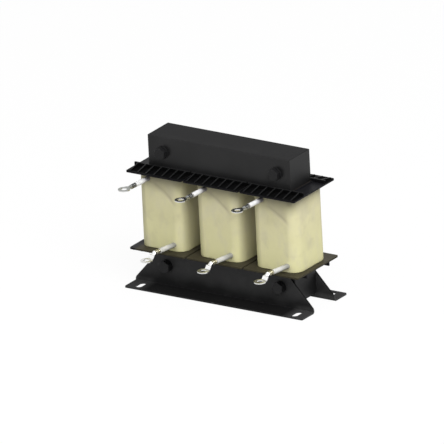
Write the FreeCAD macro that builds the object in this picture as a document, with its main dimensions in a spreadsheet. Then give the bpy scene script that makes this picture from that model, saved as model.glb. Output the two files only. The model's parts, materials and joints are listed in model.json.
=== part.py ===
import FreeCAD, Part
import math
import os
import sys

import Sketcher

# A three-phase line reactor: a laminated three-limb core with a coil on each limb, held by two
# folded brackets. X runs along the yokes, -Y is the front with the leads, and Z is up.
# The origin is on the ground, in the middle of the footprint.

# Driving sizes, in millimetres and degrees
SIZES = {
    # Laminated core
    "core_width": 150,
    "core_depth": 33,
    "limb_width": 30,
    "yoke_height": 30,
    "window_height": 76.5,
    "yoke_rise": 5,
    "gap_thickness": 1,
    "core_edge": 0.6,
    # Bobbins
    "limb_clearance": 0.3,
    "tube_wall": 1.6,
    "tube_corner": 1.5,
    "tube_end_play": 0.2,
    "flange_width": 58.2,
    "flange_depth": 65.6,
    "flange_thickness": 1.6,
    "flange_setback": 1.1,
    "flange_corner": 1.5,
    "fin_height": 3.3,
    "rib_count": 7,
    "rib_thickness": 1.2,
    "rib_margin": 3.9,
    "rib_tip_height": 0.5,
    "rib_tip_inset": 0.6,
    # Coils
    "winding_side": 5.6,
    "winding_front": 4.8,
    "winding_fit": 0.1,
    "winding_end_gap": 0.5,
    "wrap_thickness": 0.8,
    "wrap_end_play": 0.1,
    "coil_corner": 10,
    # Leads
    "wire_diameter": 2.5,
    "wire_fit": 0.15,
    "sleeve_diameter": 4.4,
    "sleeve_length": 19,
    "sleeve_insert": 0.3,
    "sleeve_hole_clearance": 0.2,
    "lower_lead_offset": 13.1,
    "lower_lead_rise": 6.4,
    "lower_lead_angle": 10.8,
    "upper_lead_offset": 11.2,
    "upper_lead_drop": 5.7,
    "upper_lead_angle": 3.6,
    # Ring lugs
    "lug_gap": 0.5,
    "lug_thickness": 0.9,
    "barrel_diameter": 4.2,
    "barrel_length": 6,
    "neck_length": 2.2,
    "neck_width": 4.6,
    "tongue_width": 6,
    "joggle_length": 2.4,
    "ring_diameter": 11,
    "ring_hole": 5.5,
    "ring_reach": 5.6,
    "lower_neck_drop": 1.5,
    "lower_ring_drop": 4.2,
    "upper_neck_rise": 0.5,
    "upper_ring_rise": 1,
    # Brackets
    "bracket_length": 188,
    "bracket_thickness": 1.5,
    "bend_radius": 0.6,
    "foot_span": 72.8,
    "foot_corner": 1.5,
    "web_top_length": 137.4,
    "web_end_height": 4.2,
    "web_corner": 4.5,
    "web_gap": 0.8,
    "slot_width": 6.4,
    "slot_length": 12.8,
    "slot_end_inset": 11.5,
    "slot_toe_inset": 9.1,
    # Bolts
    "bolt_diameter": 6,
    "bolt_clearance": 0.3,
    "hex_flats": 10,
    "head_height": 4,
    "nut_height": 5,
    "washer_diameter": 12,
    "washer_thickness": 1.6,
    "thread_end": 2.5,
    "insulator_wall": 0.9,
    "insulator_fit": 0.2,
    "insulator_end_play": 0.5,
}

doc = FreeCAD.newDocument("LineReactor")
sheet = doc.addObject("Spreadsheet::Sheet", "Sizes")
for row, (alias, value) in enumerate(SIZES.items(), start=1):
    sheet.set(f"A{row}", alias)
    sheet.set(f"B{row}", str(value))
    sheet.setAlias(f"B{row}", alias)
doc.recompute()

# Places worked out from the driving sizes, as expressions on the sheet
HALF_WIDTH = "(Sizes.core_width / 2)"
HALF_DEPTH = "(Sizes.core_depth / 2)"
HALF_LIMB = "(Sizes.limb_width / 2)"
LIMB_PITCH = f"({HALF_WIDTH} - {HALF_LIMB})"
YOKE_TOP = "(Sizes.yoke_rise + Sizes.yoke_height)"
WINDOW_TOP = f"({YOKE_TOP} + Sizes.window_height)"
WINDOW_MIDDLE = f"({YOKE_TOP} + Sizes.window_height / 2)"
LIMB_TOP = f"({WINDOW_TOP} - Sizes.gap_thickness)"
LOWER_BOLT_HEIGHT = "(Sizes.yoke_rise + Sizes.yoke_height / 2)"
UPPER_BOLT_HEIGHT = f"({WINDOW_TOP} + Sizes.yoke_height / 2)"

BORE_X = f"({HALF_LIMB} + Sizes.limb_clearance)"
BORE_Y = f"({HALF_DEPTH} + Sizes.limb_clearance)"
TUBE_X = f"({BORE_X} + Sizes.tube_wall)"
TUBE_Y = f"({BORE_Y} + Sizes.tube_wall)"
FLANGE_OUTER = "(Sizes.window_height / 2 - Sizes.flange_setback)"
FLANGE_INNER = f"({FLANGE_OUTER} - Sizes.flange_thickness)"
HALF_FLANGE_X = "(Sizes.flange_width / 2)"
HALF_FLANGE_Y = "(Sizes.flange_depth / 2)"
FIN_END = f"({FLANGE_OUTER} + Sizes.fin_height)"
FIRST_RIB = f"({HALF_FLANGE_X} - Sizes.rib_margin)"

WINDING_X = f"({TUBE_X} + Sizes.winding_fit + Sizes.winding_side)"
WINDING_Y = f"({TUBE_Y} + Sizes.winding_fit + Sizes.winding_front)"
WRAP_INNER_X = f"({WINDING_X} + Sizes.winding_fit)"
WRAP_INNER_Y = f"({WINDING_Y} + Sizes.winding_fit)"
WRAP_X = f"({WRAP_INNER_X} + Sizes.wrap_thickness)"
WRAP_Y = f"({WRAP_INNER_Y} + Sizes.wrap_thickness)"
WRAP_INNER_CORNER = "(Sizes.coil_corner - Sizes.wrap_thickness)"
WINDING_CORNER = f"({WRAP_INNER_CORNER} - Sizes.winding_fit)"
WINDING_BORE_CORNER = "(Sizes.tube_corner + Sizes.winding_fit)"

HALF_WIRE = "(Sizes.wire_diameter / 2)"
HALF_SLEEVE = "(Sizes.sleeve_diameter / 2)"
BARREL_START = "(Sizes.sleeve_length + Sizes.lug_gap)"
BARREL_END = f"({BARREL_START} + Sizes.barrel_length)"
NECK_END = f"({BARREL_END} + Sizes.neck_length)"
JOGGLE_END = f"({NECK_END} + Sizes.joggle_length)"
RING_CENTRE = f"({JOGGLE_END} + Sizes.ring_reach)"
HALF_SHEET = "(Sizes.lug_thickness / 2)"

WEB_BACK = HALF_DEPTH
WEB_FRONT = f"({HALF_DEPTH} + Sizes.bracket_thickness)"
HALF_FOOT = "(Sizes.foot_span / 2)"
OUTER_BEND = "(Sizes.bend_radius + Sizes.bracket_thickness)"
BEND_START = f"({WEB_BACK} + {OUTER_BEND})"
WEB_TOP = f"({WINDOW_MIDDLE} - {FIN_END} - Sizes.web_gap)"
HALF_BRACKET = "(Sizes.bracket_length / 2)"
HALF_WEB_TOP = "(Sizes.web_top_length / 2)"

BOLT_HOLE = "(Sizes.bolt_diameter + 2 * Sizes.bolt_clearance)"
INSULATOR_BORE = "(Sizes.bolt_diameter + 2 * Sizes.insulator_fit)"
INSULATOR_OUTER = f"({INSULATOR_BORE} + 2 * Sizes.insulator_wall)"
CORE_HOLE = f"({INSULATOR_OUTER} + 2 * Sizes.insulator_fit)"
HEX_RADIUS = "(Sizes.hex_flats / 2 / cos(30))"
UPPER_SEAT = f"({HALF_DEPTH} + Sizes.washer_thickness)"
LOWER_SEAT = f"({HALF_DEPTH} + Sizes.bracket_thickness + Sizes.washer_thickness)"

# How far a cutting shape reaches past what it cuts
OVERCUT = "1"

# How close two coordinates are when they count as the same place
NEARNESS = 0.01

# The three limbs, with the side on which each stands
LIMBS = {"left": f"(0 - {LIMB_PITCH})", "middle": "0", "right": LIMB_PITCH}
SIDES = {"left": f"(0 - {LIMB_PITCH})", "right": LIMB_PITCH}

sub_parts = []


def number(expression):
    return float(sheet.evalExpression(expression))


def minus(expression):
    return f"(0 - {expression})"


def near(first, second):
    return math.isclose(first, second, abs_tol=NEARNESS)


# Bodies, sketches and features
def new_body(name):
    body = doc.addObject("PartDesign::Body", name)
    body.Label = name
    sub_parts.append(body)
    return body


def origin_feature(body, role):
    return next(item for item in body.Origin.OriginFeatures if item.Role == role)


def new_sketch(body, name, role, offset="0"):
    sketch = body.newObject("Sketcher::SketchObject", name)
    sketch.AttachmentSupport = [(origin_feature(body, role), "")]
    sketch.MapMode = "FlatFace"
    if offset != "0":
        sketch.setExpression("AttachmentOffset.Base.z", offset)
    return sketch


def pad(body, name, sketch, length, symmetric=False):
    feature = body.newObject("PartDesign::Pad", name)
    feature.Profile = sketch
    if symmetric:
        feature.SideType = "Symmetric"
    feature.setExpression("Length", length)
    body.Tip = feature
    return feature


def pocket(body, name, sketch, length, symmetric=False, reverse=False):
    feature = body.newObject("PartDesign::Pocket", name)
    feature.Profile = sketch
    if symmetric:
        feature.SideType = "Symmetric"
    feature.Reversed = reverse
    feature.setExpression("Length", length)
    body.Tip = feature
    return feature


def fillet(body, name, radius, wanted):
    # Rounds every edge for which wanted(first end, last end) holds
    doc.recompute()
    base = body.Tip
    edges = []
    for index, edge in enumerate(base.Shape.Edges, start=1):
        first = edge.Vertexes[0].Point
        last = edge.Vertexes[-1].Point
        if wanted(first, last):
            edges.append(f"Edge{index}")
    feature = body.newObject("PartDesign::Fillet", name)
    feature.Base = (base, edges)
    feature.setExpression("Radius", radius)
    body.Tip = feature
    return feature


def place(item, x="0", y="0", z="0", rotation=None):
    if rotation:
        item.Placement = FreeCAD.Placement(FreeCAD.Vector(), rotation)
    for axis, value in (("x", x), ("y", y), ("z", z)):
        if value != "0":
            item.setExpression(f"Placement.Base.{axis}", value)


# Sketch outlines, with each corner tied to its expressions
def pin(sketch, edge, end, x, y):
    for kind, axis, value in (("DistanceX", -2, x), ("DistanceY", -1, y)):
        if value == "0":
            sketch.addConstraint(Sketcher.Constraint("PointOnObject", edge, end, axis))
        else:
            index = sketch.addConstraint(Sketcher.Constraint(kind, -1, 1, edge, end, number(value)))
            sketch.setExpression(f"Constraints[{index}]", value)


def tie_radius(sketch, edge, radius):
    index = sketch.addConstraint(Sketcher.Constraint("Radius", edge, number(radius)))
    sketch.setExpression(f"Constraints[{index}]", radius)


def circle(sketch, x, y, radius):
    centre = FreeCAD.Vector(number(x), number(y), 0)
    shape = Part.Circle(centre, FreeCAD.Vector(0, 0, 1), number(radius))
    edge = sketch.addGeometry(shape, False)
    pin(sketch, edge, 3, x, y)
    tie_radius(sketch, edge, radius)


def outline(sketch, corners):
    # Each corner is (x, y) or (x, y, radius). With a radius, the edge that arrives there is an
    # arc that turns left, or right where the radius is written with minus().
    count = len(corners)
    spots = [FreeCAD.Vector(number(corner[0]), number(corner[1]), 0) for corner in corners]
    starts = []
    ends = []
    for index, corner in enumerate(corners):
        start = spots[index - 1]
        end = spots[index]
        if len(corner) == 2:
            edge = sketch.addGeometry(Part.LineSegment(start, end), False)
            starts.append((edge, 1))
            ends.append((edge, 2))
            continue
        radius = number(corner[2])
        chord = end - start
        across = FreeCAD.Vector(-chord.y, chord.x, 0).normalize()
        reach = math.sqrt(max(radius * radius - chord.Length * chord.Length / 4, 0))
        centre = (start + end) * 0.5 + across * math.copysign(reach, radius)
        begin, finish = (start, end) if radius > 0 else (end, start)
        angles = [math.atan2(spot.y - centre.y, spot.x - centre.x) for spot in (begin, finish)]
        arc = Part.ArcOfCircle(Part.Circle(centre, FreeCAD.Vector(0, 0, 1), abs(radius)), *angles)
        edge = sketch.addGeometry(arc, False)
        starts.append((edge, 1 if radius > 0 else 2))
        ends.append((edge, 2 if radius > 0 else 1))
    for index, corner in enumerate(corners):
        following = starts[(index + 1) % count]
        sketch.addConstraint(Sketcher.Constraint("Coincident", *ends[index], *following))
        pin(sketch, *ends[index], corner[0], corner[1])
        if len(corner) == 3:
            tie_radius(sketch, ends[index][0], f"abs({corner[2]})")


def rectangle(sketch, left, right, bottom, top):
    outline(sketch, [(left, bottom), (right, bottom), (right, top), (left, top)])


def rounded_rectangle(sketch, half_x, half_y, radius):
    inner_x = f"({half_x} - {radius})"
    inner_y = f"({half_y} - {radius})"
    outline(sketch, [
        (inner_x, minus(half_y)),
        (half_x, minus(inner_y), radius),
        (half_x, inner_y),
        (inner_x, half_y, radius),
        (minus(inner_x), half_y),
        (minus(half_x), inner_y, radius),
        (minus(half_x), minus(inner_y)),
        (minus(inner_x), minus(half_y), radius),
    ])


# Laminated core
def make_lower_core():
    body = new_body("lower_core")
    profile = new_sketch(body, "LimbOutline", "XZ_Plane")
    slot_edge = f"({HALF_WIDTH} - Sizes.limb_width)"
    outline(profile, [
        (minus(HALF_WIDTH), "Sizes.yoke_rise"),
        (HALF_WIDTH, "Sizes.yoke_rise"),
        (HALF_WIDTH, LIMB_TOP),
        (slot_edge, LIMB_TOP),
        (slot_edge, YOKE_TOP),
        (HALF_LIMB, YOKE_TOP),
        (HALF_LIMB, LIMB_TOP),
        (minus(HALF_LIMB), LIMB_TOP),
        (minus(HALF_LIMB), YOKE_TOP),
        (minus(slot_edge), YOKE_TOP),
        (minus(slot_edge), LIMB_TOP),
        (minus(HALF_WIDTH), LIMB_TOP),
    ])
    for side in SIDES.values():
        circle(profile, side, LOWER_BOLT_HEIGHT, f"{CORE_HOLE} / 2")
    pad(body, "Stack", profile, "Sizes.core_depth", symmetric=True)
    bottom = number("Sizes.yoke_rise")
    half = number(HALF_WIDTH)

    def outer_edge(first, last):
        upright = near(abs(first.x), half) and near(first.x, last.x) and near(first.y, last.y)
        low = near(first.z, bottom) and near(last.z, bottom)
        return low or upright

    fillet(body, "EasedEdges", "Sizes.core_edge", outer_edge)


def make_upper_yoke():
    body = new_body("upper_yoke")
    profile = new_sketch(body, "YokeOutline", "XZ_Plane")
    yoke_top = f"({WINDOW_TOP} + Sizes.yoke_height)"
    rectangle(profile, minus(HALF_WIDTH), HALF_WIDTH, WINDOW_TOP, yoke_top)
    for side in SIDES.values():
        circle(profile, side, UPPER_BOLT_HEIGHT, f"{CORE_HOLE} / 2")
    pad(body, "Stack", profile, "Sizes.core_depth", symmetric=True)
    fillet(body, "EasedEdges", "Sizes.core_edge", lambda first, last: not near(first.distanceToPoint(last), 0))


def make_gap_sheet(side, x):
    sheet_box = doc.addObject("Part::Box", f"gap_sheet_{side}")
    sheet_box.Label = f"gap_sheet_{side}"
    sheet_box.setExpression("Length", "Sizes.limb_width")
    sheet_box.setExpression("Width", "Sizes.core_depth")
    sheet_box.setExpression("Height", "Sizes.gap_thickness")
    place(sheet_box, f"{x} - {HALF_LIMB}", minus(HALF_DEPTH), LIMB_TOP)
    sub_parts.append(sheet_box)


# Bobbins, modelled about the middle of the window so that both flanges mirror each other
def make_bobbin(side, x):
    body = new_body(f"bobbin_{side}")
    tube_length = "(Sizes.window_height - Sizes.tube_end_play)"

    tube = new_sketch(body, "TubeOutline", "XY_Plane")
    rounded_rectangle(tube, TUBE_X, TUBE_Y, "Sizes.tube_corner")
    rectangle(tube, minus(BORE_X), BORE_X, minus(BORE_Y), BORE_Y)
    pad(body, "Tube", tube, tube_length, symmetric=True)

    for level, offset in (("Upper", FLANGE_INNER), ("Lower", minus(FLANGE_OUTER))):
        plate = new_sketch(body, f"{level}FlangeOutline", "XY_Plane", offset)
        rounded_rectangle(plate, HALF_FLANGE_X, HALF_FLANGE_Y, "Sizes.flange_corner")
        rectangle(plate, minus(BORE_X), BORE_X, minus(BORE_Y), BORE_Y)
        pad(body, f"{level}Flange", plate, "Sizes.flange_thickness")

    # Fins that carry on from the tube's front and rear walls and lie along the yoke
    for level, offset in (("Upper", FLANGE_OUTER), ("Lower", minus(FIN_END))):
        fins = new_sketch(body, f"{level}FinOutline", "XY_Plane", offset)
        rectangle(fins, minus(HALF_FLANGE_X), HALF_FLANGE_X, BORE_Y, TUBE_Y)
        rectangle(fins, minus(HALF_FLANGE_X), HALF_FLANGE_X, minus(TUBE_Y), minus(BORE_Y))
        pad(body, f"{level}Fins", fins, "Sizes.fin_height")

    # Gusset ribs that fall from the fins to the flange's long edges, four in line at each place
    tip_y = f"({HALF_FLANGE_Y} - Sizes.rib_tip_inset)"
    tip_z = f"({FLANGE_OUTER} + Sizes.rib_tip_height)"
    ribs = new_sketch(body, "RibOutline", "YZ_Plane", minus(FIRST_RIB))
    for sign_y in (str, minus):
        for sign_z in (str, minus):
            outline(ribs, [
                (sign_y(TUBE_Y), sign_z(FLANGE_OUTER)),
                (sign_y(tip_y), sign_z(FLANGE_OUTER)),
                (sign_y(tip_y), sign_z(tip_z)),
                (sign_y(TUBE_Y), sign_z(FIN_END)),
            ])
    rib = pad(body, "Rib", ribs, "Sizes.rib_thickness", symmetric=True)
    row = body.newObject("PartDesign::LinearPattern", "RibRow")
    row.Originals = [rib]
    row.Direction = (origin_feature(body, "X_Axis"), [""])
    row.setExpression("Length", f"2 * {FIRST_RIB}")
    row.setExpression("Occurrences", "Sizes.rib_count")
    body.Tip = row
    place(body, x, "0", WINDOW_MIDDLE)


# Coils: the copper with its two tails, and the insulating wrap with a hole for each lead
def lead_rotation(level):
    angle = number(f"Sizes.{level}_lead_angle")
    return FreeCAD.Rotation(-angle, 0, 90)


LEAD_X = {"lower": "Sizes.lower_lead_offset", "upper": minus("Sizes.upper_lead_offset")}
LEAD_Z = {
    "lower": f"({minus(FLANGE_INNER)} + Sizes.lower_lead_rise)",
    "upper": f"({FLANGE_INNER} - Sizes.upper_lead_drop)",
}


def make_winding(side, x):
    body = new_body(f"winding_{side}")
    half_height = f"({FLANGE_INNER} - Sizes.winding_end_gap)"
    ring = new_sketch(body, "CopperOutline", "XY_Plane")
    rounded_rectangle(ring, WINDING_X, WINDING_Y, WINDING_CORNER)
    bore_x = f"({TUBE_X} + Sizes.winding_fit)"
    bore_y = f"({TUBE_Y} + Sizes.winding_fit)"
    rounded_rectangle(ring, bore_x, bore_y, WINDING_BORE_CORNER)
    pad(body, "Copper", ring, f"2 * {half_height}", symmetric=True)
    root = f"({WRAP_Y} - {WINDING_Y} + {HALF_WIRE})"
    for level in ("lower", "upper"):
        tail = body.newObject("PartDesign::AdditiveCylinder", f"{level.capitalize()}Tail")
        tail.AttachmentSupport = [(origin_feature(body, "XY_Plane"), "")]
        tail.MapMode = "FlatFace"
        rotation = lead_rotation(level)
        tail.AttachmentOffset = FreeCAD.Placement(FreeCAD.Vector(), rotation)
        forward = rotation.multVec(FreeCAD.Vector(0, 0, 1))
        tail.setExpression("AttachmentOffset.Base.x", f"{LEAD_X[level]} - ({forward.x}) * {root}")
        tail.setExpression("AttachmentOffset.Base.y", f"0 - {WRAP_Y} - ({forward.y}) * {root}")
        tail.setExpression("AttachmentOffset.Base.z", LEAD_Z[level])
        tail.setExpression("Radius", HALF_WIRE)
        tail.setExpression("Height", f"{root} + {BARREL_END}")
        body.Tip = tail
    place(body, x, "0", WINDOW_MIDDLE)


def make_wrap(side, x):
    body = new_body(f"coil_wrap_{side}")
    height = f"(2 * ({FLANGE_INNER} - Sizes.wrap_end_play))"
    ring = new_sketch(body, "WrapOutline", "XY_Plane")
    rounded_rectangle(ring, WRAP_X, WRAP_Y, "Sizes.coil_corner")
    rounded_rectangle(ring, WRAP_INNER_X, WRAP_INNER_Y, WRAP_INNER_CORNER)
    pad(body, "Wrap", ring, height, symmetric=True)
    holes = new_sketch(body, "LeadHoles", "XZ_Plane")
    for level in ("lower", "upper"):
        circle(holes, LEAD_X[level], LEAD_Z[level], f"({HALF_SLEEVE} + Sizes.sleeve_hole_clearance)")
    pocket(body, "LeadExits", holes, f"{WRAP_Y} + {OVERCUT}", reverse=True)
    place(body, x, "0", WINDOW_MIDDLE)


# Leads, modelled along their own Z from the face of the wrap
def place_lead(body, level, x):
    lead_x = f"{x} + {LEAD_X[level]}"
    place(body, lead_x, minus(WRAP_Y), f"{WINDOW_MIDDLE} + {LEAD_Z[level]}", lead_rotation(level))


def make_sleeve(level, side, x):
    body = new_body(f"lead_sleeve_{level}_{side}")
    tube = new_sketch(body, "SleeveOutline", "XY_Plane", minus("Sizes.sleeve_insert"))
    circle(tube, "0", "0", HALF_SLEEVE)
    circle(tube, "0", "0", f"({HALF_WIRE} + Sizes.wire_fit)")
    pad(body, "Sleeve", tube, "Sizes.sleeve_insert + Sizes.sleeve_length")
    place_lead(body, level, x)


def make_lug(level, side, x):
    body = new_body(f"ring_lug_{level}_{side}")
    # Heights of the neck and of the ring from the wire's line, along the lead's own Y
    neck_y = {"lower": minus("Sizes.lower_neck_drop"), "upper": "Sizes.upper_neck_rise"}[level]
    ring_y = {"lower": minus("Sizes.lower_ring_drop"), "upper": "Sizes.upper_ring_rise"}[level]

    barrel = new_sketch(body, "BarrelOutline", "XY_Plane", BARREL_START)
    circle(barrel, "0", "0", "Sizes.barrel_diameter / 2")
    circle(barrel, "0", "0", f"({HALF_WIRE} + Sizes.wire_fit)")
    pad(body, "Barrel", barrel, "Sizes.barrel_length")

    # The barrel's end is pressed flat into the neck
    round_end = new_sketch(body, "NeckRound", "XY_Plane", BARREL_END)
    circle(round_end, "0", "0", "Sizes.barrel_diameter / 2")
    flat_end = new_sketch(body, "NeckFlat", "XY_Plane", NECK_END)
    half_neck = "(Sizes.neck_width / 2)"
    rectangle(flat_end, minus(half_neck), half_neck, f"{neck_y} - {HALF_SHEET}", f"{neck_y} + {HALF_SHEET}")
    neck = body.newObject("PartDesign::AdditiveLoft", "Neck")
    neck.Profile = round_end
    neck.Sections = [flat_end]
    body.Tip = neck

    # The tongue steps from the neck to the ring, at an even thickness through the slope
    fall = f"({ring_y} - {neck_y})"
    lead_in = f"({HALF_SHEET} * tan(atan({fall} / Sizes.joggle_length) / 2))"
    step = new_sketch(body, "TongueOutline", "YZ_Plane")
    outline(step, [
        (f"{neck_y} - {HALF_SHEET}", NECK_END),
        (f"{neck_y} + {HALF_SHEET}", NECK_END),
        (f"{neck_y} + {HALF_SHEET}", f"{NECK_END} + {HALF_SHEET} - {lead_in}"),
        (f"{ring_y} + {HALF_SHEET}", f"{JOGGLE_END} - {lead_in}"),
        (f"{ring_y} + {HALF_SHEET}", RING_CENTRE),
        (f"{ring_y} - {HALF_SHEET}", RING_CENTRE),
        (f"{ring_y} - {HALF_SHEET}", f"{JOGGLE_END} + {lead_in}"),
        (f"{neck_y} - {HALF_SHEET}", f"{NECK_END} + {HALF_SHEET} + {lead_in}"),
    ])
    pad(body, "Tongue", step, "Sizes.tongue_width", symmetric=True)

    ring = new_sketch(body, "RingOutline", "XZ_Plane", minus(ring_y))
    circle(ring, "0", RING_CENTRE, "Sizes.ring_diameter / 2")
    pad(body, "Ring", ring, "Sizes.lug_thickness", symmetric=True)
    hole = new_sketch(body, "HoleOutline", "XZ_Plane", minus(ring_y))
    circle(hole, "0", RING_CENTRE, "Sizes.ring_hole / 2")
    pocket(body, "Hole", hole, f"Sizes.lug_thickness + 2 * {OVERCUT}", symmetric=True)
    place_lead(body, level, x)


# Brackets, folded from one sheet and bolted to the lower yoke's faces
def make_bracket(name, rotation):
    body = new_body(name)
    section = new_sketch(body, "FoldedSection", "YZ_Plane")
    sheet_top = "Sizes.bracket_thickness"
    outline(section, [
        (minus(WEB_FRONT), WEB_TOP),
        (minus(WEB_FRONT), OUTER_BEND),
        (minus(BEND_START), sheet_top, minus("Sizes.bend_radius")),
        (minus(HALF_FOOT), sheet_top),
        (minus(HALF_FOOT), "0"),
        (minus(BEND_START), "0"),
        (minus(WEB_BACK), OUTER_BEND, OUTER_BEND),
        (minus(WEB_BACK), WEB_TOP),
    ])
    pad(body, "FoldedSheet", section, "Sizes.bracket_length", symmetric=True)

    # The web's ends slope from the feet up to its shorter top edge
    slopes = new_sketch(body, "EndSlopes", "XZ_Plane")
    beyond_end = f"({HALF_BRACKET} + {OVERCUT})"
    for sign in (str, minus):
        outline(slopes, [
            (sign(beyond_end), "Sizes.web_end_height"),
            (sign(HALF_BRACKET), "Sizes.web_end_height"),
            (sign(HALF_WEB_TOP), WEB_TOP),
            (sign(HALF_WEB_TOP), f"({WEB_TOP} + {OVERCUT})"),
            (sign(beyond_end), f"({WEB_TOP} + {OVERCUT})"),
        ])
    pocket(body, "SlopedEnds", slopes, f"{WEB_FRONT} + {OVERCUT}", reverse=True)

    end = number(HALF_BRACKET)
    shoulder = number("Sizes.web_end_height")
    toe = number(HALF_FOOT)
    fillet(body, "WebShoulders", "Sizes.web_corner", lambda first, last: (
        near(abs(first.x), end) and near(first.z, shoulder) and near(last.z, shoulder)))
    fillet(body, "FootCorners", "Sizes.foot_corner", lambda first, last: (
        near(abs(first.x), end) and near(first.x, last.x) and near(first.y, -toe) and near(last.y, -toe)))

    slots = new_sketch(body, "FootSlots", "XY_Plane")
    half_slot = "(Sizes.slot_width / 2)"
    straight = "((Sizes.slot_length - Sizes.slot_width) / 2)"
    row = f"({HALF_FOOT} - Sizes.slot_toe_inset)"
    for sign in (str, minus):
        middle = sign(f"({HALF_BRACKET} - Sizes.slot_end_inset)")
        outline(slots, [
            (f"({middle} + {half_slot})", f"(0 - {row} + {straight})"),
            (middle, f"(0 - {row} + {straight} + {half_slot})", half_slot),
            (f"({middle} - {half_slot})", f"(0 - {row} + {straight})", half_slot),
            (f"({middle} - {half_slot})", f"(0 - {row} - {straight})"),
            (middle, f"(0 - {row} - {straight} - {half_slot})", half_slot),
            (f"({middle} + {half_slot})", f"(0 - {row} - {straight})", half_slot),
        ])
    pocket(body, "Slots", slots, f"Sizes.bracket_thickness + {OVERCUT}", reverse=True)

    holes = new_sketch(body, "BoltHoles", "XZ_Plane")
    for x in SIDES.values():
        circle(holes, x, LOWER_BOLT_HEIGHT, f"{BOLT_HOLE} / 2")
    pocket(body, "Holes", holes, f"{WEB_FRONT} + {OVERCUT}", reverse=True)
    place(body, rotation=rotation)


# Bolts, nuts, washers and insulating tubes, modelled along their own Z, which points to the rear
ALONG_BOLT = FreeCAD.Rotation(FreeCAD.Vector(1, 0, 0), -90)
CORNER_UP = ALONG_BOLT.multiply(FreeCAD.Rotation(FreeCAD.Vector(0, 0, 1), 90))


def hexagon(body, name, offset, height):
    prism = body.newObject("PartDesign::AdditivePrism", name)
    prism.AttachmentSupport = [(origin_feature(body, "XY_Plane"), "")]
    prism.MapMode = "FlatFace"
    if offset != "0":
        prism.setExpression("AttachmentOffset.Base.z", offset)
    prism.Polygon = 6
    prism.setExpression("Circumradius", HEX_RADIUS)
    prism.setExpression("Height", height)
    body.Tip = prism


def bevel_corners(body, name, face, inward):
    # Turns the hexagon's corners down to a 30 degree cone at one face
    profile = new_sketch(body, f"{name}Outline", "XZ_Plane")
    flat = "(Sizes.hex_flats / 2)"
    outer = f"({HEX_RADIUS} + 0.1)"
    depth = f"({outer} - {flat}) * tan(30)"
    outline(profile, [(flat, face), (outer, face), (outer, f"{face} {inward} {depth}")])
    groove = body.newObject("PartDesign::Groove", name)
    groove.Profile = profile
    groove.ReferenceAxis = (profile, ["V_Axis"])
    groove.Angle = 360
    body.Tip = groove


def make_fasteners(level, side, x, height, seat):
    bolt = new_body(f"yoke_bolt_{level}_{side}")
    hexagon(bolt, "Head", minus("Sizes.head_height"), "Sizes.head_height")
    shank = new_sketch(bolt, "ShankOutline", "XY_Plane")
    circle(shank, "0", "0", "Sizes.bolt_diameter / 2")
    pad(bolt, "Shank", shank, f"2 * {seat} + Sizes.nut_height + Sizes.thread_end")
    bevel_corners(bolt, "HeadBevel", minus("Sizes.head_height"), "+")
    place(bolt, x, minus(seat), height, CORNER_UP)

    nut = new_body(f"yoke_nut_{level}_{side}")
    hexagon(nut, "Hexagon", "0", "Sizes.nut_height")
    thread = new_sketch(nut, "ThreadOutline", "XY_Plane")
    circle(thread, "0", "0", "Sizes.bolt_diameter / 2")
    pocket(nut, "Thread", thread, f"Sizes.nut_height + {OVERCUT}", reverse=True)
    bevel_corners(nut, "NutBevel", "Sizes.nut_height", "-")
    place(nut, x, seat, height, CORNER_UP)

    for face, start in (("front", minus(seat)), ("rear", f"{seat} - Sizes.washer_thickness")):
        washer = new_body(f"washer_{face}_{level}_{side}")
        ring = new_sketch(washer, "WasherOutline", "XY_Plane")
        circle(ring, "0", "0", "Sizes.washer_diameter / 2")
        circle(ring, "0", "0", f"{BOLT_HOLE} / 2")
        pad(washer, "Washer", ring, "Sizes.washer_thickness")
        place(washer, x, start, height, ALONG_BOLT)

    insulator = new_body(f"bolt_insulator_{level}_{side}")
    wall = new_sketch(insulator, "InsulatorOutline", "XY_Plane")
    circle(wall, "0", "0", f"{INSULATOR_OUTER} / 2")
    circle(wall, "0", "0", f"{INSULATOR_BORE} / 2")
    pad(insulator, "Insulator", wall, "Sizes.core_depth - 2 * Sizes.insulator_end_play")
    place(insulator, x, f"Sizes.insulator_end_play - {HALF_DEPTH}", height, ALONG_BOLT)


make_lower_core()
make_upper_yoke()
make_bracket("front_bracket", FreeCAD.Rotation())
make_bracket("rear_bracket", FreeCAD.Rotation(180, 0, 0))
for side, x in LIMBS.items():
    make_gap_sheet(side, x)
    make_bobbin(side, x)
    make_winding(side, x)
    make_wrap(side, x)
    for level in ("upper", "lower"):
        make_sleeve(level, side, x)
        make_lug(level, side, x)
for side, x in SIDES.items():
    make_fasteners("upper", side, x, UPPER_BOLT_HEIGHT, UPPER_SEAT)
    make_fasteners("lower", side, x, LOWER_BOLT_HEIGHT, LOWER_SEAT)
doc.recompute()

# Nothing is written unless every feature and every sub-part came out whole
faults = [item.Name for item in doc.Objects if {"Invalid", "Error"} & set(item.State)]
for item in sub_parts:
    if item.Shape.isNull() or not item.Shape.isValid() or len(item.Shape.Solids) != 1:
        faults.append(item.Label)
if faults:
    sys.exit("Failed: " + ", ".join(faults))

os.makedirs("parts", exist_ok=True)
for item in sub_parts:
    item.Shape.exportStep(f"parts/{item.Label}.step")
print(f"{len(sub_parts)} sub-parts written")
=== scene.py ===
import json
import math

import bpy
import numpy as np
from mathutils import Matrix, Vector


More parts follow.
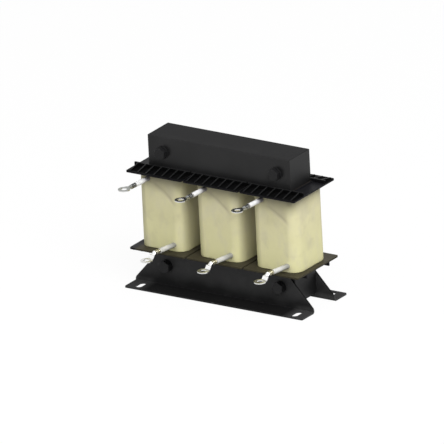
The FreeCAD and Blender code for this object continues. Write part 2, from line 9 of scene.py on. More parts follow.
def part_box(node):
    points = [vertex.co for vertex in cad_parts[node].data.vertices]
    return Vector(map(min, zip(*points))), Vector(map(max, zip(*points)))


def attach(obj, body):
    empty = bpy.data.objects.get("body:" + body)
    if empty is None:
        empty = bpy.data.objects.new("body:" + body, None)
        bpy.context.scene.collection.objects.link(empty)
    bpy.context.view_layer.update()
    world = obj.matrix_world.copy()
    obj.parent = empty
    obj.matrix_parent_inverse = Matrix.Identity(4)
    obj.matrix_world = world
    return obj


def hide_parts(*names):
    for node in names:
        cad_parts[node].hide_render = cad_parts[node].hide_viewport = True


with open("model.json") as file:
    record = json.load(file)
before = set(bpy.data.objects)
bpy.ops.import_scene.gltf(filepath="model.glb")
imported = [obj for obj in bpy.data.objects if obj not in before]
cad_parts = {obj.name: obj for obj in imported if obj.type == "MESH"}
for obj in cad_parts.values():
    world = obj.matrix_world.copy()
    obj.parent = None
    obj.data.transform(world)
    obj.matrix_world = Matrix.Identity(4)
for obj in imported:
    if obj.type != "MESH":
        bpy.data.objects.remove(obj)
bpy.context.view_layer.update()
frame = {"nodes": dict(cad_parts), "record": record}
nodes = frame["nodes"]
random = np.random.default_rng(7)
sides = ("left", "middle", "right")
levels = ("upper", "lower")
noiseSpan = (0.3, 0.7)  # nearly all values of a noise lie between these


# Shader helpers
def newMaterial(name, colour, roughness, **constants):
    # Where roughness is a pair, a pattern spreads it later, and its mean lies underneath
    material = bpy.data.materials.new(name)
    material.use_nodes = True
    shader = material.node_tree.nodes["Principled BSDF"]
    shader.inputs["Base Color"].default_value = (*colour, 1)
    shader.inputs["Roughness"].default_value = float(np.mean(roughness))
    for key, value in constants.items():
        shader.inputs[key.replace("_", " ")].default_value = value
    return material, shader


def addNode(tree, kind, settings=None, **values):
    node = tree.nodes.new(kind)
    for key, value in (settings or {}).items():
        setattr(node, key, value)
    for key, value in values.items():
        socket = node.inputs[int(key[2:])] if key[:2] == "at" else node.inputs[key.replace("_", " ")]
        if isinstance(value, bpy.types.NodeSocket):
            tree.links.new(value, socket)
        else:
            socket.default_value = value
    return node


def objectPoint(tree, scale=(1, 1, 1)):
    place = addNode(tree, "ShaderNodeTexCoord").outputs["Object"]
    return addNode(tree, "ShaderNodeMapping", Vector=place, Scale=scale).outputs[0]


def noise(tree, point, scale, detail=2.0, roughness=0.5):
    return addNode(tree, "ShaderNodeTexNoise", Vector=point, Scale=scale, Detail=detail,
                   Roughness=roughness).outputs["Fac"]


def calculate(tree, operation, first, second=0.0, clamp=False):
    return addNode(tree, "ShaderNodeMath", {"operation": operation, "use_clamp": clamp},
                   at0=first, at1=second).outputs[0]


def remap(tree, value, low, high, toLow, toHigh):
    return addNode(tree, "ShaderNodeMapRange", Value=value, From_Min=low, From_Max=high,
                   To_Min=toLow, To_Max=toHigh).outputs[0]


def mixColour(tree, share, first, second):
    # A Mix node keeps its colours behind its sockets for numbers and vectors
    node = addNode(tree, "ShaderNodeMix", {"data_type": "RGBA"}, at0=share)
    for index, value in ((6, first), (7, second)):
        if isinstance(value, bpy.types.NodeSocket):
            tree.links.new(value, node.inputs[index])
        else:
            node.inputs[index].default_value = (*value, 1)
    return node.outputs[2]


def along(tree, axis):
    # The place along one axis of the object, in metres
    return addNode(tree, "ShaderNodeSeparateXYZ", Vector=objectPoint(tree)).outputs[axis]


def facing(tree, axis):
    # How squarely a surface faces along one axis of the object, from 0 to 1
    normal = addNode(tree, "ShaderNodeTexCoord").outputs["Normal"]
    part = addNode(tree, "ShaderNodeSeparateXYZ", Vector=normal).outputs[axis]
    return calculate(tree, "ABSOLUTE", part)


def upperHalf(tree):
    # 1 on the upper flanges and leads, 0 on the lower ones
    return remap(tree, along(tree, "Z"), 0.06, 0.08, 0.0, 1.0)


def stored(tree, name):
    # A value that the mesh carries on its points
    return addNode(tree, "ShaderNodeAttribute", {"attribute_name": name}).outputs["Fac"]


def bump(tree, shader, height, distance, strength):
    relief = addNode(tree, "ShaderNodeBump", Height=height, Distance=distance, Strength=strength).outputs[0]
    tree.links.new(relief, shader.inputs["Normal"])


# Black varnish over the edges of the stacked sheets: the sheets lie one behind another along Y,
# so their edges draw lines along the top and up the ends, and none on the front
core = {"colour": (0.0075, 0.0075, 0.0078), "cloudy": (0.0115, 0.0115, 0.0118),
        "end": (0.002, 0.002, 0.0021), "endShadeShare": 0.55, "gloss": 0.26,
        "faceRoughness": 0.3, "topRoughness": 1.0, "endRoughness": 0.45,
        "sheetScale": 900, "bundleScale": 260, "peelScale": 420, "cloudScale": 38, "edgeDepth": 0.0001}


def makeCorePaint():
    material, shader = newMaterial("coreVarnish", core["colour"], core["faceRoughness"],
                                   Specular_IOR_Level=core["gloss"])
    tree = material.node_tree
    sheets = noise(tree, objectPoint(tree, (0.0, 1.0, 0.0)), core["sheetScale"], 3.0, 0.7)
    bundles = noise(tree, objectPoint(tree, (0.02, 1.0, 0.02)), core["bundleScale"], 2.0)
    edges = calculate(tree, "ADD", sheets, calculate(tree, "MULTIPLY", bundles, 0.8))
    peel = noise(tree, objectPoint(tree), core["peelScale"], 3.0)
    height = calculate(tree, "ADD", edges, calculate(tree, "MULTIPLY", peel, 0.25))
    bump(tree, shader, height, core["edgeDepth"], 0.5)
    cloud = noise(tree, objectPoint(tree), core["cloudScale"], 3.0)
    tint = mixColour(tree, remap(tree, cloud, 0.35, 0.7, 0.0, 1.0), core["colour"], core["cloudy"])
    # Painted shade: the end faces darken towards near black
    tint = mixColour(tree, remap(tree, facing(tree, "X"), 0.3, 0.9, 0.0, core["endShadeShare"]), tint, core["end"])
    tree.links.new(tint, shader.inputs["Base Color"])
    finish = remap(tree, facing(tree, "X"), 0.3, 0.9, core["faceRoughness"], core["endRoughness"])
    onTop = calculate(tree, "MULTIPLY", facing(tree, "Z"), core["topRoughness"] - core["faceRoughness"])
    finish = calculate(tree, "ADD", finish, onTop)
    finish = calculate(tree, "MULTIPLY", finish, remap(tree, cloud, *noiseSpan, 0.93, 1.07))
    tree.links.new(finish, shader.inputs["Roughness"])
    return material


# Satin black paint on folded sheet, with a fine orange peel and rougher feet. The web pales upwards from
# the bend with painted light and shade, the feet get painted shade, and their ends painted light. Reaches and
# rises are places in metres
bracket = {"colour": (0.012, 0.012, 0.0122), "pale": (0.066, 0.066, 0.067), "footShade": (0.0025, 0.0025, 0.0026),
           "end": (0.034, 0.034, 0.034), "roughness": (0.31, 0.42), "footDulling": 0.6, "gloss": 0.12,
           "webShadingRise": (0.006, 0.032), "endReach": (0.072, 0.080), "footRise": (0.004, 0.007),
           "cloudScale": 45, "peelScale": 650, "peelDepth": 0.00004}


def makeBracketPaint():
    material, shader = newMaterial("bracketPaint", bracket["colour"], bracket["roughness"],
                                   Specular_IOR_Level=bracket["gloss"])
    tree = material.node_tree
    peel = noise(tree, objectPoint(tree), bracket["peelScale"], 2.0)
    bump(tree, shader, peel, bracket["peelDepth"], 0.5)
    cloud = noise(tree, objectPoint(tree), bracket["cloudScale"], 4.0)
    flat = remap(tree, facing(tree, "Z"), 0.15, 0.7, 0.0, 1.0)
    dulling = calculate(tree, "MULTIPLY", flat, bracket["footDulling"])
    roughness = calculate(tree, "ADD", remap(tree, cloud, *noiseSpan, *bracket["roughness"]), dulling, True)
    tree.links.new(roughness, shader.inputs["Roughness"])
    # Painted light and shade: the web darkens down towards the bend and pales upwards
    rise = remap(tree, along(tree, "Z"), *bracket["webShadingRise"], 0.0, 1.0)
    rise = calculate(tree, "ADD", rise, remap(tree, cloud, 0.4, 0.75, -0.1, 0.15), True)
    tint = mixColour(tree, rise, bracket["colour"], bracket["pale"])
    # Painted shade on the feet
    tint = mixColour(tree, flat, tint, bracket["footShade"])
    # Painted light on the ends of the feet
    endward = remap(tree, calculate(tree, "ABSOLUTE", along(tree, "X")), *bracket["endReach"], 0.0, 1.0)
    onFoot = remap(tree, along(tree, "Z"), *bracket["footRise"], 1.0, 0.0)
    endward = calculate(tree, "MULTIPLY", endward, onFoot)
    tree.links.new(mixColour(tree, endward, tint, bracket["end"]), shader.inputs["Base Color"])
    return material


# Moulded black nylon, glass filled. The ribbed band of the upper flanges is darker with painted shade, black
# with painted shade in the pockets and paler with a painted highlight on the ribs' tops. Where ribs start and
# fall is taken from the middle of the core
moulding = {"colour": (0.0100, 0.0100, 0.0115), "edge": (0.0025, 0.0025, 0.0028),
            "pocket": (0.0003, 0.0003, 0.0004), "rib": (0.0145, 0.0145, 0.015), "low": (0.042, 0.037, 0.023),
            "roughness": (0.3, 0.42), "pocketDulling": 0.6, "topDust": 0.08, "gloss": 0.06,
            "ribStart": (0.0166, 0.0172), "ribFallsAt": 0.0184, "ribSlope": 0.203, "pocketDepth": 0.0033,
            "lowFlange": 0.0049, "lowPlate": (0.0015, 0.0012), "lowEnd": (-0.0845, -0.0805),
            "cloudScale": 60, "grainScale": 1500, "grainDepth": 0.00003}


def makeBobbinNylon():
    material, shader = newMaterial("bobbinNylon", moulding["colour"], moulding["roughness"],
                                   Specular_IOR_Level=moulding["gloss"])
    tree = material.node_tree
    fibre = noise(tree, objectPoint(tree, (1.0, 0.35, 1.0)), moulding["grainScale"], 3.0, 0.6)
    bump(tree, shader, fibre, moulding["grainDepth"], 0.6)
    cloud = noise(tree, objectPoint(tree), moulding["cloudScale"], 3.0)
    # The ribbed band of the upper flanges, from the pockets' floor up
    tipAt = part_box("bobbin_left")[1].z
    floorAt = tipAt - moulding["pocketDepth"]
    offside = calculate(tree, "ABSOLUTE", along(tree, "Y"))
    beside = remap(tree, offside, *moulding["ribStart"], 0.0, 1.0)
    above = remap(tree, along(tree, "Z"), floorAt - 0.0004, floorAt - 0.0002, 0.0, 1.0)
    beside = calculate(tree, "MULTIPLY", beside, above)
    # The ribs' tops fall to the flange's edge, so height is taken from that slope
    outward = calculate(tree, "MAXIMUM", calculate(tree, "SUBTRACT", offside, moulding["ribFallsAt"]), 0.0)
    overRib = calculate(tree, "SUBTRACT", along(tree, "Z"), tipAt)
    overRib = calculate(tree, "ADD", overRib, calculate(tree, "MULTIPLY", outward, moulding["ribSlope"]))
    deep = calculate(tree, "MULTIPLY", beside, remap(tree, overRib, -0.0009, -0.0004, 1.0, 0.0))
    tips = calculate(tree, "MULTIPLY", beside, remap(tree, overRib, -0.00035, -0.0001, 0.0, 1.0))
    dust = remap(tree, facing(tree, "Z"), 0.5, 0.95, 0.0, moulding["topDust"])
    roughness = calculate(tree, "ADD", remap(tree, cloud, *noiseSpan, *moulding["roughness"]), dust)
    dulling = calculate(tree, "MULTIPLY", deep, moulding["pocketDulling"])
    tree.links.new(calculate(tree, "ADD", roughness, dulling, True), shader.inputs["Roughness"])
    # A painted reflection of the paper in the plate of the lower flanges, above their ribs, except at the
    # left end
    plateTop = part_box("bobbin_left")[0].z + moulding["lowFlange"]
    plateFoot, plateRise = (plateTop - depth for depth in moulding["lowPlate"])
    onPlate = remap(tree, along(tree, "Z"), plateFoot, plateRise, 0.0, 1.0)
    onPlate = calculate(tree, "MULTIPLY", onPlate, calculate(tree, "SUBTRACT", 1.0, upperHalf(tree)))
    pastEnd = remap(tree, along(tree, "X"), *moulding["lowEnd"], 0.0, 1.0)
    paperReflection = calculate(tree, "MULTIPLY", onPlate, pastEnd)
    # Painted reflection of the paper on the lower plates
    body = mixColour(tree, paperReflection, moulding["colour"], moulding["low"])
    # Painted shade over the ribbed band
    body = mixColour(tree, beside, body, moulding["edge"])
    # Painted shade in the pockets
    tint = mixColour(tree, deep, body, moulding["pocket"])
    # Painted highlight on the ribs' tops
    tree.links.new(mixColour(tree, tips, tint, moulding["rib"]), shader.inputs["Base Color"])
    return material


# Cream insulating paper: mottled, yellower below, with pale blooms and faint brown stains, and with painted
# shade in creases, under the upper flange and between the coils
paper = {"colour": (0.67, 0.63, 0.375), "pale": (0.71, 0.67, 0.41), "yellow": (0.72, 0.70, 0.36),
         "bloom": (0.62, 0.58, 0.42), "brown": (0.41, 0.37, 0.25), "shaded": (0.24, 0.22, 0.15),
         "roughness": (0.48, 0.62), "gloss": 0.35, "yellowFall": (0.085, 0.04), "flangeShadeRise": (0.088, 0.1087),
         "fibreScale": 900, "cockleScale": 55, "mottleScale": 70, "bloomScale": 105, "stainScale": 75,
         "fibreDepth": 0.00006}


def makeWrapPaper():
    material, shader = newMaterial("wrapPaper", paper["colour"], paper["roughness"],
                                   Specular_IOR_Level=paper["gloss"])
    tree = material.node_tree
    fibre = noise(tree, objectPoint(tree, (1.0, 1.0, 0.4)), paper["fibreScale"], 4.0, 0.6)
    cockle = noise(tree, objectPoint(tree, (1.0, 1.0, 0.6)), paper["cockleScale"], 2.0)
    height = calculate(tree, "MULTIPLY", fibre, 0.35)
    height = calculate(tree, "ADD", height, calculate(tree, "MULTIPLY", cockle, 2.5))
    bump(tree, shader, height, paper["fibreDepth"], 0.5)
    mottle = noise(tree, objectPoint(tree), paper["mottleScale"], 4.0, 0.6)
    body = mixColour(tree, remap(tree, mottle, 0.35, 0.65, 0.0, 1.0), paper["colour"], paper["pale"])
    rise = along(tree, "Z")
    body = mixColour(tree, remap(tree, rise, *paper["yellowFall"], 0.0, 0.6), body, paper["yellow"])
    bloom = noise(tree, objectPoint(tree, (1.0, 1.0, 0.45)), paper["bloomScale"], 3.0, 0.55)
    body = mixColour(tree, remap(tree, bloom, 0.48, 0.68, 0.0, 0.4), body, paper["bloom"])
    stain = noise(tree, objectPoint(tree, (0.9, 0.9, 0.8)), paper["stainScale"], 3.0, 0.6)
    body = mixColour(tree, remap(tree, stain, 0.54, 0.72, 0.0, 0.22), body, paper["brown"])
    # Painted shadow of the upper flange on the paper's top, and painted shade between the coils
    flangeShade = remap(tree, rise, *paper["flangeShadeRise"], 0.0, 1.0)
    flangeShade = calculate(tree, "MULTIPLY", calculate(tree, "MULTIPLY", flangeShade, flangeShade), 0.8)
    body = mixColour(tree, calculate(tree, "MAXIMUM", stored(tree, "gapShade"), flangeShade), body, paper["shaded"])
    # Painted shade in the folds, on the puckers' rings and along the last turn's edge, in brown
    reliefShade = calculate(tree, "MULTIPLY", stored(tree, "reliefShade"), 0.75, True)
    tree.links.new(mixColour(tree, reliefShade, body, paper["brown"]), shader.inputs["Base Color"])
    tree.links.new(remap(tree, mottle, *noiseSpan, *paper["roughness"]), shader.inputs["Roughness"])
    return material


# White varnished glass sleeve, with painted shade: greyer where it leaves the coil, most under the upper
# flange, and greyer all along on the lower leads
sleeve = {"colour": (0.80, 0.80, 0.80), "lowerShaded": (0.60, 0.60, 0.57), "lowerBaseShade": (0.27, 0.27, 0.24),
          "upperBaseShade": (0.20, 0.185, 0.21), "roughness": 0.42, "gloss": 0.4, "shadeRun": (0.003, 0.012),
          "braidPitch": 0.0021, "braidStrands": 8, "braidDepth": 0.00007,
          "diameter": 0.0044, "flare": 0.00025, "flareShare": 0.22, "wobble": 0.00009,
          "shadeNoiseScale": 300, "wobbleScale": 420, "rings": 40, "around": 28, "mouth": 0.0015}


def makeSleeveWhite():
    material, shader = newMaterial("sleeveWhite", sleeve["colour"], sleeve["roughness"],
                                   Specular_IOR_Level=sleeve["gloss"])
    tree = material.node_tree
    run = stored(tree, "run")
    length = calculate(tree, "MULTIPLY", run, math.tau / sleeve["braidPitch"])
    turn = calculate(tree, "MULTIPLY", stored(tree, "around"), math.tau * sleeve["braidStrands"])
    left = calculate(tree, "SINE", calculate(tree, "ADD", length, turn))
    right = calculate(tree, "SINE", calculate(tree, "SUBTRACT", length, turn))
    braid = calculate(tree, "MAXIMUM", left, right)
    bump(tree, shader, braid, sleeve["braidDepth"], 0.5)
    # Painted shade: grey where the sleeve leaves the coil, varied by a noise, darkest under the upper flange
    shade = remap(tree, run, *sleeve["shadeRun"], 1.0, 0.0)
    shadeNoise = noise(tree, objectPoint(tree), sleeve["shadeNoiseScale"], 3.0)
    shade = calculate(tree, "MULTIPLY", shade, remap(tree, shadeNoise, *noiseSpan, 0.85, 1.05), True)
    upper = upperHalf(tree)
    base = mixColour(tree, upper, sleeve["lowerBaseShade"], sleeve["upperBaseShade"])
    # Painted shade: the lower sleeves greyer all along
    outerTone = mixColour(tree, upper, sleeve["lowerShaded"], sleeve["colour"])
    tree.links.new(mixColour(tree, shade, outerTone, base), shader.inputs["Base Color"])
    return material


# Tinned copper lugs, with grooves crimped across each barrel at places along Y. A painted dark reflection of
# the flange lies on the upper lugs' upward faces, and painted shade in the grooves and on the lower barrels
tin = {"colour": (0.80, 0.80, 0.79), "cloudy": (0.62, 0.61, 0.60), "flangeReflection": (0.28, 0.29, 0.27),
       "lowBarrelShade": (0.30, 0.27, 0.15), "highBarrelShade": (0.05, 0.05, 0.05), "roughness": (0.16, 0.34),
       "crimps": (-0.0451, -0.0469, -0.0485), "crimpHalf": (0.0003, 0.0008), "crimpDepth": 0.0003,
       "barrelEnd": -0.0472, "dipScale": 700, "scuffScale": 2600}


def makeTinnedLug():
    material, shader = newMaterial("tinnedLug", tin["colour"], tin["roughness"], Metallic=1.0)
    tree = material.node_tree
    dip = noise(tree, objectPoint(tree), tin["dipScale"], 3.0)
    scuff = noise(tree, objectPoint(tree, (1.0, 0.2, 1.0)), tin["scuffScale"], 2.0)
    tree.links.new(remap(tree, dip, *noiseSpan, *tin["roughness"]), shader.inputs["Roughness"])
    height = calculate(tree, "ADD", dip, calculate(tree, "MULTIPLY", scuff, 0.3))
    height = calculate(tree, "MULTIPLY", height, 0.15)
    groove = 0.0
    for place in tin["crimps"]:
        away = calculate(tree, "ABSOLUTE", calculate(tree, "SUBTRACT", along(tree, "Y"), place))
        groove = calculate(tree, "ADD", groove, remap(tree, away, *tin["crimpHalf"], 1.0, 0.0), True)
    bump(tree, shader, calculate(tree, "SUBTRACT", height, groove), tin["crimpDepth"], 0.8)
    upper = upperHalf(tree)
    tint = mixColour(tree, remap(tree, dip, 0.45, 0.75, 0.0, 1.0), tin["colour"], tin["cloudy"])
    # Painted dark reflection of the black flange on the upward faces of the upper lugs
    flat = remap(tree, facing(tree, "Z"), 0.3, 0.9, 0.25, 1.0)
    tint = mixColour(tree, calculate(tree, "MULTIPLY", upper, flat), tint, tin["flangeReflection"])
    # Painted shade in the crimp grooves and on the lower lugs' barrels, olive on the lower lugs and near
    # black on the upper
    barrel = remap(tree, along(tree, "Y"), tin["barrelEnd"] - 0.0004, tin["barrelEnd"], 0.0, 0.8)
    barrel = calculate(tree, "MULTIPLY", barrel, calculate(tree, "SUBTRACT", 1.0, upper))
    barrelShade = mixColour(tree, upper, tin["lowBarrelShade"], tin["highBarrelShade"])
    tint = mixColour(tree, calculate(tree, "MAXIMUM", groove, barrel), tint, barrelShade)
    tree.links.new(tint, shader.inputs["Base Color"])
    return material


# Enamelled copper, turn above turn
copper = {"colour": (0.42, 0.14, 0.05), "roughness": 0.3, "turnScale": 62.8, "turnDepth": 0.0004}


def makeCopper():
    material, shader = newMaterial("enamelledCopper", copper["colour"], copper["roughness"], Metallic=0.6)
    tree = material.node_tree
    turns = addNode(tree, "ShaderNodeTexWave", {"bands_direction": "Z"}, Vector=objectPoint(tree),
                    Scale=copper["turnScale"], Distortion=0.4).outputs["Fac"]
    bump(tree, shader, turns, copper["turnDepth"], 0.6)
    return material


# Blackened steel of the bolts, nuts and washers
fastener = {"colour": (0.011, 0.011, 0.0115), "roughness": (0.26, 0.42), "gloss": 0.16,
            "wearScale": 800, "wearDepth": 0.00003}


def makeBlackSteel():
    material, shader = newMaterial("blackSteel", fastener["colour"], fastener["roughness"],
                                   Specular_IOR_Level=fastener["gloss"])
    tree = material.node_tree
    wear = noise(tree, objectPoint(tree), fastener["wearScale"], 4.0)
    tree.links.new(remap(tree, wear, *noiseSpan, *fastener["roughness"]), shader.inputs["Roughness"])
    bump(tree, shader, wear, fastener["wearDepth"], 0.4)
    return material


# The gap sheets of dark laminate and the pale tubes round the bolts
insulation = {"gapLaminate": (0.022, 0.017, 0.012), "boltTube": (0.68, 0.64, 0.52), "roughness": 0.6,
              "grainScale": 900, "grainDepth": 0.00004, "grainShade": 0.75}


def makeInsulation(name):
    colour = insulation[name]
    material, shader = newMaterial(name, colour, insulation["roughness"])
    tree = material.node_tree
    grain = noise(tree, objectPoint(tree, (1.0, 0.3, 1.0)), insulation["grainScale"], 3.0)
    bump(tree, shader, grain, insulation["grainDepth"], 0.5)
    darker = tuple(insulation["grainShade"] * part for part in colour)
    tree.links.new(mixColour(tree, grain, colour, darker), shader.inputs["Base Color"])
    return material


finishes = {
    "core_paint": makeCorePaint(),
    "bracket_paint": makeBracketPaint(),
    "bobbin_plastic": makeBobbinNylon(),
    "coil_wrap": makeWrapPaper(),
    "sleeve_white": makeSleeveWhite(),
    "tinned_lug": makeTinnedLug(),
    "copper": makeCopper(),
    "black_fastener": makeBlackSteel(),
    "gap_laminate": makeInsulation("gapLaminate"),
    "insulator": makeInsulation("boltTube"),
}
for part in frame["record"]["subparts"]:
    slots = nodes[part["node"]].data.materials
    slots.clear()
    slots.append(finishes[part["material_slot"]])
print("materials ready")


# Mesh helpers
def meshPiece(name, points, faces, slot):
    mesh = bpy.data.meshes.new(name)
    mesh.from_pydata([tuple(point) for point in points], [], faces)
    mesh.materials.append(finishes[slot])
    mesh.polygons.foreach_set("use_smooth", [True] * len(mesh.polygons))
    piece = bpy.data.objects.new(name, mesh)
    bpy.context.scene.collection.objects.link(piece)
    return piece


def addToScene(piece, slot, *replaced):
    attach(piece, "root")
    if replaced:
        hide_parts(*replaced)


def smoothStep(low, high, value):
    share = np.clip((value - low) / (high - low), 0, 1)
    return share * share * (3 - 2 * share)


# Paper wraps: a rounded sleeve of paper that bulges a little, with the fold that runs down from the
# upper lead, a puckered ring round each lead and the straight edge of the last turn
wrap = {"corner": 0.010, "wall": 0.00072, "columns": 232, "rows": 120, "crown": 0.00030,
        "cockle": 0.00010, "cockles": 7, "topTuck": 0.00035, "hollowShade": 0.42,
        "foldDepth": 0.00045, "foldWidth": 0.0019, "foldShade": 0.85, "slackDepth": 0.5, "slackShade": 0.45,
        "pucker": 0.00035, "puckerRadius": 0.0024, "puckerWidth": 0.0013, "puckerShade": 0.3,
        "edgeStep": 0.00016, "edgeInset": 0.0085, "edgeWander": 0.0006, "edgeWidth": 0.0004,
        "edgeShade": 0.45}
# Where each fold begins, bends and ends on the front, as x from the coil's middle and z
folds = {"left": ((-0.0050, 0.0990), (0.0050, 0.0928), (0.0165, 0.0815)),
         "middle": ((-0.0075, 0.1010), (0.0030, 0.0932), (0.0150, 0.0828)),
         "right": ((-0.0040, 0.0970), (0.0080, 0.0895), (0.0165, 0.0835))}


def roundedPath(halfX, halfY, corner, count):
    # Points and outward directions round a rounded rectangle, from the middle of its rear
    straightX, straightY = 2 * (halfX - corner), 2 * (halfY - corner)
    bend = math.pi / 2 * corner
    total = 2 * (straightX + straightY) + 4 * bend
    legs = [("line", straightX / 2), ("bend", bend), ("line", straightY), ("bend", bend), ("line", straightX),
            ("bend", bend), ("line", straightY), ("bend", bend), ("line", straightX / 2)]
    position = np.array([0.0, halfY])
    direction = math.pi
    points, outward = [], []
    distances = np.arange(count) * total / count
    start = 0.0
    index = 0
    for kind, length in legs:
        while index < count and distances[index] < start + length - 1e-12:
            travel = distances[index] - start
            if kind == "line":
                spot = position + travel * np.array([math.cos(direction), math.sin(direction)])
                heading = direction - math.pi / 2
            else:
                centre = position + corner * np.array([-math.sin(direction), math.cos(direction)])
                turned = direction + travel / corner
                spot = centre + corner * np.array([math.sin(turned), -math.cos(turned)])
                heading = turned - math.pi / 2
            points.append(spot)
            outward.append((math.cos(heading), math.sin(heading)))
            index += 1
        if kind == "line":
            position = position + length * np.array([math.cos(direction), math.sin(direction)])
        else:
            centre = position + corner * np.array([-math.sin(direction), math.cos(direction)])
            direction += math.pi / 2
            position = centre + corner * np.array([math.sin(direction), -math.cos(direction)])
        start += length
    return np.array(points), np.array(outward)


def makeWrap(side):
    low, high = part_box(f"coil_wrap_{side}")
    centreX = (low.x + high.x) / 2
    halfX, halfY = (high.x - low.x) / 2, (high.y - low.y) / 2
    ring, outward = roundedPath(halfX, halfY, wrap["corner"], wrap["columns"])
    heights = np.linspace(low.z, high.z, wrap["rows"])
    x = np.repeat(ring[None, :, 0], len(heights), 0)
    y = np.repeat(ring[None, :, 1], len(heights), 0)
    z = np.repeat(heights[:, None], len(ring), 1)
    up = (z - low.z) / (high.z - low.z)
    onFront = np.clip(-outward[None, :, 1], 0, 1) ** 4
    push = wrap["crown"] * np.sin(math.pi * up) ** 0.7 * (
        np.cos(np.clip(x / halfX, -1, 1) * math.pi / 2) * np.abs(outward[None, :, 1]) ** 3
        + np.cos(np.clip(y / halfY, -1, 1) * math.pi / 2) * np.abs(outward[None, :, 0]) ** 3)
    shade = np.zeros_like(z)
    # Slow cockles round the coil, each a third as deep as the value given
    for _ in range(wrap["cockles"]):
        turn, rise, phase = random.uniform(40, 150), random.uniform(20, 90), random.uniform(0, 6.28)
        push = push + wrap["cockle"] / 3 * np.sin(turn * x - 0.6 * turn * y + rise * z + phase)
    # The fold from the upper lead, with the slack paper above it lying a little deeper, and painted shade in
    # the fold and on the slack paper
    bendX, bendZ = zip(*folds[side])
    foldLine = np.interp(x, bendX, bendZ)
    above = (z - foldLine) * 0.77  # square to the fold, which runs down at about 40 degrees
    begun = smoothStep(bendX[0] - 0.005, bendX[0] + 0.002, x)
    ended = smoothStep(bendX[2] - 0.006, bendX[2] + 0.002, x)
    reach = begun * (1 - ended) * onFront
    valley = np.exp(-(above / wrap["foldWidth"]) ** 2) * reach
    slack = smoothStep(-0.001, 0.004, above) * (1 - smoothStep(0.005, 0.014, above)) * reach
    push = push - wrap["foldDepth"] * (valley + wrap["slackDepth"] * slack)
    shade = shade + wrap["foldShade"] * valley + wrap["slackShade"] * slack
    # A pucker round each lead, with painted shade on its ring
    for level in levels:
        leadLow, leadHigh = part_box(f"lead_sleeve_{level}_{side}")
        leadX = leadHigh.x - (leadHigh.z - leadLow.z) / 2 - centreX
        leadZ = (leadLow.z + leadHigh.z) / 2
        away = np.hypot(x - leadX, z - leadZ)
        lift = np.exp(-((away - wrap["puckerRadius"]) / wrap["puckerWidth"]) ** 2) * onFront
        push = push + wrap["pucker"] * lift
        shade = shade + wrap["puckerShade"] * lift
    # The tuck of the paper under the upper flange
    push = push - wrap["topTuck"] * smoothStep(0.93, 1.0, up)
    # The edge of the last turn stands proud by its own thickness, down the left of the front, with a painted
    # shade line along it
    edgeAt = -halfX + wrap["edgeInset"] + wrap["edgeWander"] * np.sin(z * 60)
    proud = smoothStep(-wrap["edgeWidth"] / 2, wrap["edgeWidth"] / 2, edgeAt - x)
    push = push + wrap["edgeStep"] * proud * onFront
    shade = shade + wrap["edgeShade"] * np.exp(-((x - edgeAt) / wrap["edgeWidth"]) ** 2) * onFront

    # The outer skin, with a plain inner ring at its top and bottom that closes the paper's thickness
    outer = np.stack([x + centreX + outward[None, :, 0] * push, y + outward[None, :, 1] * push, z], -1)
    inner = np.stack([x + centreX - outward[None, :, 0] * wrap["wall"],
                      y - outward[None, :, 1] * wrap["wall"], z], -1)
    rows, columns = z.shape
    points = np.concatenate([outer.reshape(-1, 3), inner[[0, -1]].reshape(-1, 3)])
    faces = []
    for row in range(rows - 1):
        for column in range(columns):
            after = (column + 1) % columns
            faces.append((row * columns + column, row * columns + after,
                          (row + 1) * columns + after, (row + 1) * columns + column))
    innerLow, innerHigh, topRow = rows * columns, (rows + 1) * columns, (rows - 1) * columns
    for column in range(columns):
        after = (column + 1) % columns
        faces.append((innerLow + column, innerLow + after, after, column))
        faces.append((topRow + column, topRow + after, innerHigh + after, innerHigh + column))
        faces.append((innerLow + after, innerLow + column, innerHigh + column, innerHigh + after))
    piece = meshPiece(f"paper_wrap_{side}", points, faces, "coil_wrap")
    # Painted shade where the paper faces the next coil
    towardsNext = np.zeros_like(outward[:, 0])
    for lastSide, sign in (("right", 1), ("left", -1)):
        if side != lastSide:
            towardsNext += smoothStep(0.6, 0.97, sign * outward[:, 0])
    gapShade = np.repeat(wrap["hollowShade"] * towardsNext[None, :], rows, 0)
    for name, values in (("reliefShade", shade), ("gapShade", gapShade)):
        painted = piece.data.attributes.new(name, "FLOAT", "POINT")
        painted.data.foreach_set("value", np.concatenate(
            [values.reshape(-1), np.zeros(2 * columns)]).clip(0, 1).astype(np.float32))
    addToScene(piece, "coil_wrap", f"coil_wrap_{side}")


for side in sides:
    makeWrap(side)
print("wraps ready")


# Geometry Nodes helpers
def newTree(name, sizes):
    tree = bpy.data.node_groups.new(name, "GeometryNodeTree")
    tree.interface.new_socket(name="Geometry", in_out="INPUT", socket_type="NodeSocketGeometry")
    tree.interface.new_socket(name="Geometry", in_out="OUTPUT", socket_type="NodeSocketGeometry")
    for label, value in sizes.items():
        kind = "NodeSocketInt" if isinstance(value, int) else "NodeSocketFloat"
        tree.interface.new_socket(name=label, in_out="INPUT", socket_type=kind).default_value = value
    return tree, tree.nodes.new("NodeGroupInput").outputs, tree.nodes.new("NodeGroupOutput")


def closeTree(tree, out, geometry, slot):
    # Real geometry in its own material, because the export drops instances
    real = addNode(tree, "GeometryNodeRealizeInstances", Geometry=geometry).outputs[0]
    coated = addNode(tree, "GeometryNodeSetMaterial", Geometry=real, Material=finishes[slot]).outputs[0]
    tree.links.new(coated, out.inputs[0])
    return tree


